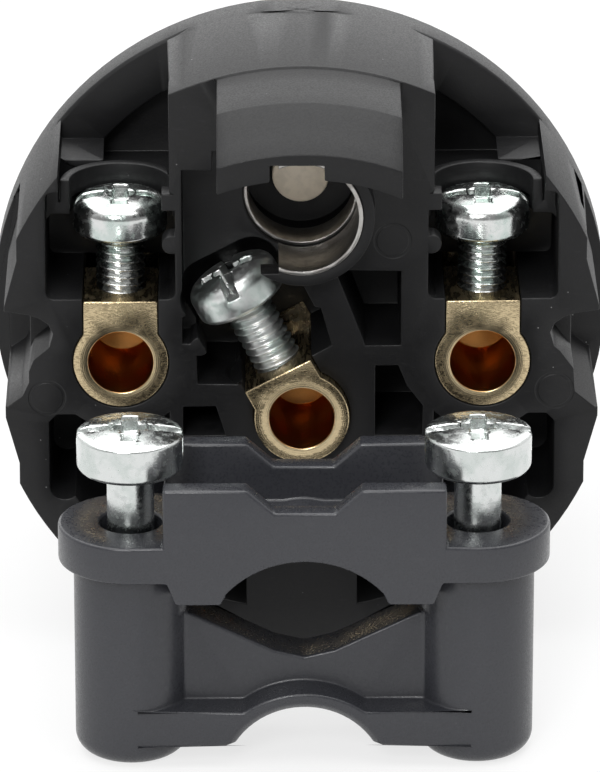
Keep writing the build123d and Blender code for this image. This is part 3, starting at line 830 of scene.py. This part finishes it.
class EarthLine:
    """The earth bow, the disc in the tunnel and the tunnel's two linings."""

    def build(self) -> List[bpy.types.Object]:
        """Make the earth line."""
        strip = PlatedMetal(
            "bow nickel", (0.62, 0.60, 0.56), (0.50, 0.47, 0.42), 0.3, 0.006, (1, 0.1, 1)).material()
        lining = PlatedMetal("lining nickel", (0.46, 0.45, 0.43), (0.36, 0.34, 0.32), 0.36, 0.005).material()
        # Painted reflection: the plated disc gets a pale matte colour that stands in for its bright face.
        disc = PaintedReflectionDisc("disc with painted reflection", (0.80, 0.70, 0.56)).material()
        return [
            Softened("earth_bow", Slot.NICKEL, 0.08).build(strip),
            Softened("earth_rivet", Slot.NICKEL, 0.12).build(disc),
            Softened("rear_tunnel_bush", Slot.NICKEL, 0.05).build(lining),
            Softened("front_tunnel_bush", Slot.NICKEL, 0.05).build(lining)]


@dataclass(frozen=True)
class ClampSizes:
    """Places and radii of the cable clamp, in millimetres."""

    middle_back: float = 14.2
    screw_x: float = 10.25
    head_seat: float = -1.0
    head_radius: float = 3.15
    head_height: float = 2.6
    head_fullness: float = 0.55
    thread_radius: float = 1.7
    pitch: float = 0.9
    plain_length: float = 4.6
    plain_radius: float = 1.4
    screw_length: float = 16.0
    saddle_round: float = 0.18
    bar_round: float = 0.18
    vee_low: float = -17.2
    vee_high: float = -9.0
    vee_drop: float = 0.55
    lip_from: float = 5.0
    lip_width: float = 2.0
    lip_top: float = -6.7
    lip_bottom: float = -7.75
    lip_reach: float = 1.4
    lip_drop: float = 0.3
    slack: float = 0.05


class CableClamp:
    """The saddle, the bar and their two screws."""

    def __init__(self, sizes: ClampSizes = ClampSizes()) -> None:
        self.sizes = sizes

    def _saddle(self, material: bpy.types.Material) -> bpy.types.Object:
        """The saddle, with its vee a little lower than the solid's."""
        s = self.sizes
        form = merged_copy("clamp_saddle")
        for vert in form.verts:
            if s.vee_low < vert.co.z / MM < s.vee_high:
                vert.co.z -= s.vee_drop * MM
        soften(form, s.saddle_round, 3, flat_faces=False)
        return place_piece("clamp_saddle_moulded", form, material, "clamp_saddle")

    def _bar(self, material: bpy.types.Material) -> bpy.types.Object:
        """The bar, with the lips under its plates drawn out to their full width."""
        s = self.sizes
        form = merged_copy("clamp_bar")
        for vert in form.verts:
            x, z = abs(vert.co.x / MM), vert.co.z / MM
            on_lip = s.lip_from < x < s.lip_from + s.lip_width and z < s.lip_top + s.slack
            if on_lip:
                vert.co.x += math.copysign(s.lip_reach * MM, vert.co.x)
            if z < s.lip_bottom + s.slack:
                vert.co.z -= s.lip_drop * MM
        soften(form, s.bar_round, 3, flat_faces=False)
        return place_piece("clamp_bar_moulded", form, material, "clamp_bar")

    def build(self) -> List[bpy.types.Object]:
        """Make the clamp."""
        s = self.sizes
        slate = MouldedPlastic(
            "clamp plastic", (0.027, 0.028, 0.033), 0.30, grain_mm=0.16, specks=0.35).material()
        zinc = PlatedMetal("clamp screw zinc", (0.66, 0.68, 0.67), (0.56, 0.60, 0.58), 0.28).material()
        pieces = [self._saddle(slate), self._bar(slate)]
        for node, side in (("clamp_screw_left", -1), ("clamp_screw_right", 1)):
            seat = (side * s.screw_x, -REAR / MM - s.middle_back, s.head_seat)
            screw = ThreadedScrew(node, seat, (0, 0, 1), s.thread_radius, s.screw_length, s.pitch,
                                  s.plain_length, s.plain_radius, head_radius=s.head_radius,
                                  head_height=s.head_height, fullness=s.head_fullness)
            pieces.append(screw.build(zinc))
        return pieces


# Studio

@dataclass(frozen=True)
class Softbox:
    """A large soft lamp aimed at the part."""

    name: str
    place: Tuple[float, float, float]
    wide: float
    high: float
    watts: float
    colour: Colour = (1.0, 1.0, 1.0)

    def build(self) -> bpy.types.Object:
        """Hang the lamp and aim it at the part."""
        lamp = bpy.data.lights.new(self.name, "AREA")
        lamp.shape = "RECTANGLE"
        lamp.size, lamp.size_y = self.wide, self.high
        lamp.energy = self.watts
        lamp.color = self.colour
        holder = bpy.data.objects.new(self.name, lamp)
        bpy.context.scene.collection.objects.link(holder)
        holder.location = self.place
        holder.rotation_mode = "QUATERNION"
        holder.rotation_quaternion = (Vector((0, -REAR, 0)) - holder.location).to_track_quat("-Z", "Y")
        return holder


class Studio:
    """Pale floor, even surroundings, soft lamps and the camera."""

    PAPER_GLOW = 0.75
    EVEN_LIGHT = 0.42
    LAMPS = (
        Softbox("overhead softbox", (0.0, 0.02, 0.55), 0.8, 0.8, 5.0),
        Softbox("rear softbox", (0.0, 0.65, 0.30), 0.9, 0.5, 1.6),
        Softbox("key softbox", (-0.16, -0.62, 0.42), 0.22, 0.22, 2.4),
    )

    def floor(self) -> bpy.types.Object:
        """Lay the floor under the clamp posts."""
        form = bmesh.new()
        bmesh.ops.create_grid(form, x_segments=8, y_segments=8, size=3.0,
                              matrix=Matrix.Translation((0.0, 0.0, FLOOR_Z)))
        mesh = bpy.data.meshes.new("floor")
        form.to_mesh(mesh)
        form.free()
        board = SurfaceBoard("paper floor")
        tone = board.noise(60.0).between(0.3, 0.7)
        paper = board.finish(board.blend(tone, (0.84, 0.84, 0.84), (0.86, 0.86, 0.86)), 0.85, 0.0)
        glow = board.node("ShaderNodeEmission", {"Color": (1.0, 1.0, 1.0, 1.0), "Strength": 1.0})
        shown = board.node("ShaderNodeMixShader", {
            0: board.backdrop_rays() * self.PAPER_GLOW, 1: board.shader.outputs[0], 2: glow.outputs[0]})
        board.tree.links.new(shown.outputs[0], board.tree.nodes["Material Output"].inputs["Surface"])
        mesh.materials.append(paper)
        sheet = bpy.data.objects.new("floor", mesh)
        bpy.context.scene.collection.objects.link(sheet)
        return sheet

    def surroundings(self) -> None:
        """Even light from all round, behind a backdrop that shows white but for the side of the camera."""
        world = bpy.data.worlds.new("studio")
        bpy.context.scene.world = world
        world.use_nodes = True
        board = Board(world.node_tree)
        way = board.node("ShaderNodeSeparateXYZ", {0: board.node("ShaderNodeTexCoord").outputs["Generated"]})
        onward, upward = (Value(board, way.outputs[index]) for index in (1, 2))
        far_side = (onward + upward * 0.6).between(-0.5, 0.5, 0.3, 1.0)
        level = board.backdrop_rays() * (far_side - self.EVEN_LIGHT) + self.EVEN_LIGHT
        backdrop = world.node_tree.nodes["Background"]
        board.tree.links.new(board.blend(level, (0.0, 0.0, 0.0), (1.0, 1.0, 1.0)), backdrop.inputs["Color"])
        backdrop.inputs["Strength"].default_value = 1.0

    def camera(self) -> bpy.types.Object:
        """Look at the cable side from 22 degrees above, as the photograph does."""
        height, turn, away = math.radians(21.9), math.radians(0.56), 0.414
        ahead = Vector(
            (math.sin(turn) * math.cos(height), math.cos(turn) * math.cos(height), -math.sin(height)))
        up = Vector((0.0, math.sin(height), math.cos(height)))
        across = ahead.cross(up)
        camera = bpy.data.objects.new("camera", bpy.data.cameras.new("camera"))
        bpy.context.scene.collection.objects.link(camera)
        target = Vector((0.0, -REAR, 0.0)) - across * 0.11 * MM - up * 1.46 * MM
        camera.location = target - ahead * away
        camera.rotation_mode = "QUATERNION"
        camera.rotation_quaternion = ahead.to_track_quat("-Z", "Y")
        camera.data.sensor_width = 36.0
        camera.data.lens = 317.6
        camera.data.clip_start = 0.01
        bpy.context.scene.camera = camera
        return camera

    def build(self) -> None:
        """Set up the whole studio."""
        self.floor()
        self.surroundings()
        self.camera()
        for lamp in self.LAMPS:
            lamp.build()
        bpy.context.scene.view_settings.view_transform = "Standard"


def main() -> None:
    """Dress the insert and light it."""
    logging.basicConfig(level=logging.INFO)
    pieces = []
    for assembly in (BlackMouldings(), Terminals(), EarthLine(), CableClamp()):
        pieces += assembly.build()
    Studio().build()
    log.info("%d pieces", len(pieces))


if __name__ == "__main__":
    main()
